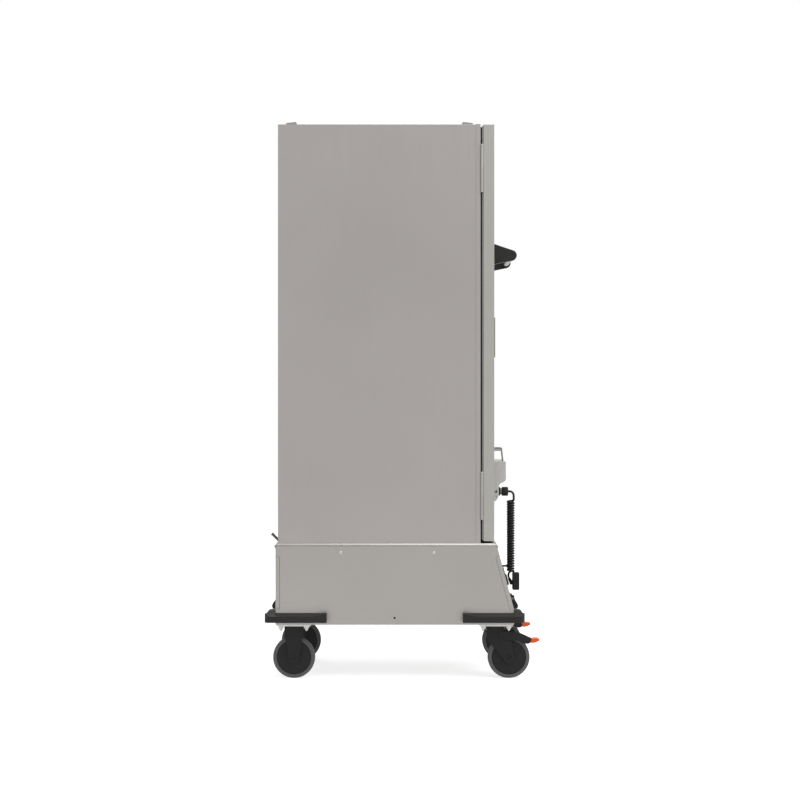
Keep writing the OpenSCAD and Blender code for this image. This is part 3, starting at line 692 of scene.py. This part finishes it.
@dataclass
class MainsCord:
    """Curly mains cord of the heater, with its gland and its plug.

    The route of the free stretches repeats the model's own points. All sizes are in millimetres.

    Attributes:
        x: Plane of the coil's axis and of the lead.
        wire_d: Diameter of the cord.
        curl_r: Radius of the curls' centre line.
        coil_y: Axis of the curls.
        helix_top: Height at which the curls start.
        helix_bottom: Height at which they end.
        ease_in: Radius of the bend from the lead into the curls.
        ease_out: Radius of the bend from the curls into the tail.
        exit_deg: Angle from the front, round the coil, at which the tail leaves.
        curls: Whole curls.
        lead: Points (y, z) from the gland to the curls.
        tail: Points (y from where the tail leaves, z) down to the plug.
        points_a_curl: Points of the centre line in each curl.
        gland_at: Foot of the gland (y, z) on the heater.
        plug_low: Lower corner of the plug's block (x from the coil's axis, y, z).
        plug_high: Upper corner of the plug's block, in the same way.
        link_half: Half width of the link between the block and the boot.
        link_z: Lower and upper end of the link.
        boot: Outline (along the tail, radius) of the boot.
        boot_sides: Sides of the boot's round outline.
        pin_y: Place of the pins along y.
        pin_zs: Heights of the pins.
    """

    x: float = -90.0
    wire_d: float = 6.5
    curl_r: float = 9.2
    coil_y: float = -328.6
    helix_top: float = 521.5
    helix_bottom: float = 306.9
    ease_in: float = 7.5
    ease_out: float = 12.0
    exit_deg: float = 135.0
    curls: int = 28
    lead: Outline = field(default_factory=lambda: [
        (-321, 550.5), (-326, 550.5), (-331, 549.2), (-335, 545.8), (-337.2, 541), (-337.8, 537.5)])
    tail: Outline = field(default_factory=lambda: [
        (-0.1, 292.5), (-0.7, 289.4), (-1.8, 286.2), (-2.5, 284.6)])
    points_a_curl: int = 24
    gland_at: tuple[float, float] = (-290.0, 550.5)
    plug_low: Point = (-13.0, -354.6, 251.0)
    plug_high: Point = (13.0, -333.4, 304.2)
    link_half: float = 5.0
    link_z: tuple[float, float] = (266.0, 280.0)
    boot: Outline = field(default_factory=lambda: [(0, 4.0), (0.5, 4.3), (6, 4.6), (12, 4.9), (13, 4.4)])
    boot_sides: int = 24
    pin_y: float = -344.0
    pin_zs: tuple[float, float] = (268.0, 287.0)

    def place(self, angle: float, z: float) -> Vector:
        """Find a point of the coil's centre line.

        Args:
            angle: Angle round the axis from the front, in radians.
            z: Height in millimetres.

        Returns:
            The point in metres.
        """
        across, along = self.curl_r * math.sin(angle), self.curl_r * math.cos(angle)
        return Vector((self.x + across, self.coil_y - along, z)) * MM

    def tail_points(self) -> list[Vector]:
        """List the centre line of the tail, in metres."""
        leaves = self.place(math.radians(self.exit_deg), 0)
        return [leaves + Vector((0, y, z)) * MM for y, z in self.tail]

    def route(self) -> list[Vector]:
        """List the centre line from the gland to the plug.

        Returns:
            Points in metres.
        """
        turn_in, turn_out = self.ease_in / self.curl_r, self.ease_out / self.curl_r
        turned_by = 2 * math.pi * self.curls + math.radians(self.exit_deg) - turn_in - turn_out
        drop = self.helix_top - self.helix_bottom
        steps = round(self.points_a_curl * turned_by / (2 * math.pi))
        shares = [k / steps for k in range(1, steps)]
        bend = [math.pi / 2 * k / 8 for k in range(9)]
        coil = [(turn_in * (1 - math.cos(a)),
                 self.helix_top + self.ease_in * (1 - math.sin(a))) for a in bend]
        coil += [(turn_in + turned_by * share, self.helix_top - drop * share) for share in shares]
        coil += [(turn_in + turned_by + turn_out * math.sin(a),
                  self.helix_bottom - self.ease_out * (1 - math.cos(a))) for a in bend]
        return [*self.flat(self.lead), *[self.place(*step) for step in coil], *self.tail_points()]

    def flat(self, points: Outline) -> list[Vector]:
        """Place a free stretch in its plane, in metres."""
        return [Vector((self.x, y, z)) * MM for y, z in points]

    def build(self) -> None:
        route = self.route()
        data = bpy.data.curves.new("mains_cord", "CURVE")
        data.dimensions = "3D"
        data.bevel_depth = self.wire_d / 2 * MM
        data.bevel_resolution = 4
        data.use_fill_caps = True
        spline = data.splines.new("POLY")
        spline.points.add(len(route) - 1)
        for point, place in zip(spline.points, route):
            point.co = (*place, 1.0)
        data.materials.append(CORD_RUBBER.material())
        cord = bpy.data.objects.new("mains_cord", data)
        bpy.context.scene.collection.objects.link(cord)
        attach(cord, "heater")
        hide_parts("cord_lead", "cord_coil", "cord_tail")
        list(self.gland())
        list(self.plug())

    def gland(self) -> list[bpy.types.Object]:
        """Make the gland: a flange, a grey neck and a ridged nut.

        Returns:
            Its pieces.
        """
        centre = (self.x, *self.gland_at)
        black = bmesh.new()
        turned(black, [(0, 0), (12.7, 0), (13.0, 0.4), (13.0, 6.0), (12.6, 6.4), (0, 6.4)], centre, Axis.Y,
               sense=-1)
        turned(black, [(0, 11.4), (11.8, 11.4), (13.1, 13.0), (13.1, 28.0), (11.8, 30.4), (5.2, 31.0),
                       (0, 31.0)], centre, Axis.Y, 144, -1, (24, 0.45))
        grey = bmesh.new()
        turned(grey, [(0, 6.4), (9.5, 6.4), (9.5, 11.4), (0, 11.4)], centre, Axis.Y, 48, -1)
        nut = new_piece("gland_nut", black, GLAND_NYLON, "heater", ("heater_gland",))
        neck = new_piece("gland_neck", grey, GLAND_GREY, "heater")
        return [nut, neck]

    def plug(self) -> list[bpy.types.Object]:
        """Make the plug: a moulded block with a boot, and two plated pins.

        Returns:
            Its pieces.
        """
        block = bmesh.new()
        axis = Vector((self.x, 0, 0))
        rounded_block(block, axis + Vector(self.plug_low), axis + Vector(self.plug_high), 3.0)
        before, end = (point / MM for point in self.tail_points()[-2:])
        rounded_block(block, (end.x - self.link_half, self.plug_high[1] - 2.6, self.link_z[0]),
                      (end.x + self.link_half, end.y - 1.5, self.link_z[1]), 1.2)
        way = (end - before).normalized()
        side = Vector((1, 0, 0))
        up = way.cross(side)
        angles = [2 * math.pi * k / self.boot_sides for k in range(self.boot_sides)]
        outward = [side * math.cos(a) + up * math.sin(a) for a in angles]
        rings = [[block.verts.new((end + way * along + radius * out) * MM) for out in outward]
                 for along, radius in self.boot]
        for low, high in zip(rings, rings[1:]):
            for k in range(self.boot_sides):
                ahead = (k + 1) % self.boot_sides
                block.faces.new((low[k], low[ahead], high[ahead], high[k]))
        block.faces.new(rings[0])
        block.faces.new(rings[-1])
        body = new_piece("plug_moulding", block, PLUG_RUBBER, "heater", ("plug_body",))
        pins = bmesh.new()
        for z in self.pin_zs:
            turned(pins, [(0, 0), (2.4, 0), (2.4, 16), (1.8, 19), (0.9, 20), (0, 20)],
                   (self.x + self.plug_high[0] - 1, self.pin_y, z), Axis.X, 24)
        metal = new_piece("plug_pins", pins, PIN_NICKEL, "heater")
        return [body, metal]


# ---- Sub-assemblies ----

@dataclass
class BaseUnit:
    """Base of folded sheet on a chassis, with its deck, screws, bumpers, dock and spout.

    Attributes:
        fold_mm: Outer radius of a fold in the sheet.
        bumper_edge_mm: Radius of the bumpers' edges.
        dock_at: Foot of the plug dock on the sloping front.
        dock_plate_mm: How far the dock's plate stands out of the front; the tongue stands out further.
        dock_top: Height over which no part of the tongue reaches.
        slope_deg: Lean of the front from vertical.
    """

    fold_mm: float = 0.8
    bumper_edge_mm: float = 3.0
    dock_at: Point = (0.0, -314.0, 266.0)
    dock_plate_mm: float = 8.4
    dock_top: float = 300.0
    slope_deg: float = 15.0

    def build(self) -> None:
        """Dress the base from the chassis outward."""
        dress("chassis", CHASSIS_ZINC)
        for node in ("base_side_left", "base_side_right", "base_front_cover", "base_rear_cover"):
            rounded(node, BASE_STEEL, self.fold_mm)
        rounded("base_deck", DECK_STEEL, 1.2)
        rounded("side_screws", PLATED, 0.3, 2)
        for end in ("front", "rear"):
            for side in ("left", "right"):
                rounded(f"bumper_{end}_{side}", BUMPER_RUBBER, self.bumper_edge_mm)
        rounded("centre_buffers", BUMPER_RUBBER, self.bumper_edge_mm)
        # The tongue's light grey is a painted highlight along the cord tail's edge
        paint(rounded("plug_dock", DOCK_PLASTIC, 0.4, 2), DOCK_TONGUE_PAINTED_HIGHLIGHT, self.on_painted_highlight)
        rounded("rear_spout", DULL_ROD, 0.6, 2)
        LOG.info("base unit dressed")

    def on_painted_highlight(self, centre: Vector) -> bool:
        """Tell whether a point of the dock lies on its light grey tongue, whose colour is a painted highlight
        along the cord tail's edge.
        """
        lean = math.radians(self.slope_deg)
        out = Vector((0, -math.cos(lean), math.sin(lean)))
        return centre.z < self.dock_top and (centre - Vector(self.dock_at)).dot(out) > self.dock_plate_mm


@dataclass
class CasterSet:
    """Two fixed and two swivel casters, with plates, bolts and brake pedals.

    Attributes:
        edge_mm: Radius of the forks' edges.
    """

    edge_mm: float = 1.5

    def build(self) -> None:
        """Dress the casters."""
        rounded("caster_plates", PLATED, 0.8)
        rounded("caster_bolts", PLATED, 0.5, 2)
        rounded("rear_forks", CASTER_NYLON, self.edge_mm)
        rounded("rear_axles", BLACK_OXIDE, 0.8, 2)
        for side in ("left", "right"):
            rounded(f"front_fork_{side}", CASTER_NYLON, self.edge_mm)
            rounded(f"front_axle_{side}", BLACK_OXIDE, 0.8, 2)
            rounded(f"brake_pedal_{side}", CASTER_NYLON, 1.2)
            rounded(f"pedal_tip_{side}", BRAKE_NYLON, 2.0)
            for end in ("front", "rear"):
                rounded(f"wheel_core_{end}_{side}", CASTER_NYLON, 0.8)
                rounded(f"tyre_{end}_{side}", TREAD_RUBBER, 0.5)
        LOG.info("casters dressed")


@dataclass
class Cabinet:
    """Insulated cabinet with its tray rack, roof pads and the fixed hinge halves.

    Attributes:
        fold_mm: Outer radius of a fold in the cabinet's skin.
    """

    fold_mm: float = 1.0

    def build(self) -> None:
        """Dress the cabinet from the outside in."""
        for node in ("outer_shell", "front_frame"):
            rounded(node, CABINET_STEEL, self.fold_mm)
        dress("insulation", WOOL)
        rounded("inner_liner", LINER_STEEL, 0.8)
        rounded("rack_posts", LINER_STEEL, 0.8)
        for side in ("left", "right"):
            rounded(f"rack_rails_{side}", LINER_STEEL, 0.5, 2)
        rounded("roof_pads", PAD_PLASTIC, 1.2)
        rounded("hinge_body_halves", CABINET_STEEL, 0.4, 2)
        rounded("hinge_pins", PLATED, 0.6, 2)
        LOG.info("cabinet dressed")


@dataclass
class Door:
    """Door pan with its liner, gasket, hinge halves, push bar and card holder.

    Attributes:
        fold_mm: Outer radius of a fold in the door pan.
        carrier_mm: Thickness of the gasket's grey carrier, which the black lip stands on.
        card_side_mm: Distance of the card from the holder's sides.
        card_foot_mm: Distance of the card from the holder's foot.
        card_head_mm: Distance of the card from the holder's top.
        card_depth_mm: Front and back of the card, from the holder's front.
    """

    fold_mm: float = 1.0
    carrier_mm: float = 3.75
    card_side_mm: float = 5.0
    card_foot_mm: float = 4.5
    card_head_mm: float = 3.0
    card_depth_mm: tuple[float, float] = (2.2, 2.7)

    def build(self) -> None:
        """Dress the door."""
        rounded("door_skin", DOOR_STEEL, self.fold_mm)
        dress("door_core", WOOL)
        rounded("door_liner", LINER_STEEL, 0.5, 2)
        lip_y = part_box("door_gasket")[0][1] / MM + self.carrier_mm
        gasket = rounded("door_gasket", GASKET_CARRIER, 0.8, 2)
        paint(gasket, GASKET_RUBBER, lambda centre: centre.y > lip_y)
        rounded("hinge_door_halves", DOOR_STEEL, 0.4, 2)
        rounded("push_bar_brackets", BRACKET_NYLON, 1.5)
        rounded("push_bar_tube", BAR_ALUMINIUM, 0.3, 2)
        rounded("card_holder", HOLDER_PLASTIC, 0.5, 2)
        self.card()
        LOG.info("door dressed")

    def card(self) -> None:
        """Slip a blank card into the holder."""
        low, high = (Vector(corner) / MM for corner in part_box("card_holder"))
        bm = bmesh.new()
        front, back = (low.y + depth for depth in self.card_depth_mm)
        rounded_block(bm, (low.x + self.card_side_mm, front, low.z + self.card_foot_mm),
                      (high.x - self.card_side_mm, back, high.z - self.card_head_mm), 0.1)
        new_piece("blank_card", bm, CARD_PAPER, "door")


@dataclass
class HeaterUnit:
    """Heater that draws out of the door, with its strap handle. The strap's darker steel is painted shade on
    the handle's top, and the grip's light grey is painted light on its lower side.

    Attributes:
        edge_mm: Radius of the housing's edges.
        grip_half_mm: Half width of the grip.
        grip_low_mm: Foot of the grip, under the strap's top.
        grip_high_mm: Top of the grip, under the strap's top.
        grip_front_mm: Front of the grip, from the strap's front.
        grip_back_mm: Back of the grip, from the strap's back.
    """

    edge_mm: float = 1.2
    grip_half_mm: float = 17.4
    grip_low_mm: float = 11.0
    grip_high_mm: float = 3.6
    grip_front_mm: float = 7.0
    grip_back_mm: float = 2.9

    def build(self) -> None:
        """Dress the heater."""
        rounded("heater_housing", HEATER_STEEL, self.edge_mm)
        rounded("heater_core", LINER_STEEL, 1.0)
        # The strap's darker steel is painted shade on the handle's top
        rounded("heater_bail", STRAP_STEEL_PAINTED_SHADE, 0.8)
        # The grip's light grey is painted light on the handle's lower side
        self.grip()
        LOG.info("heater dressed")

    def grip(self) -> None:
        """Clip a light grey grip round the block under the strap's top. Its light grey is painted light on
        the handle's lower side.
        """
        low, high = (Vector(corner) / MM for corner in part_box("heater_bail"))
        bm = bmesh.new()
        rounded_block(bm, (-self.grip_half_mm, low.y + self.grip_front_mm, high.z - self.grip_low_mm),
                      (self.grip_half_mm, high.y - self.grip_back_mm, high.z - self.grip_high_mm), 1.5)
        new_piece("bail_grip_painted_light", bm, GRIP_PAINTED_LIGHT, "heater")


def main() -> None:
    """Build the scene from the camera and the cord to the sub-assemblies."""
    logging.basicConfig(level=logging.INFO, format="%(message)s")
    Studio().build()
    MainsCord().build()
    for unit in (BaseUnit(), CasterSet(), Cabinet(), Door(), HeaterUnit()):
        unit.build()


if __name__ == "__main__":
    main()
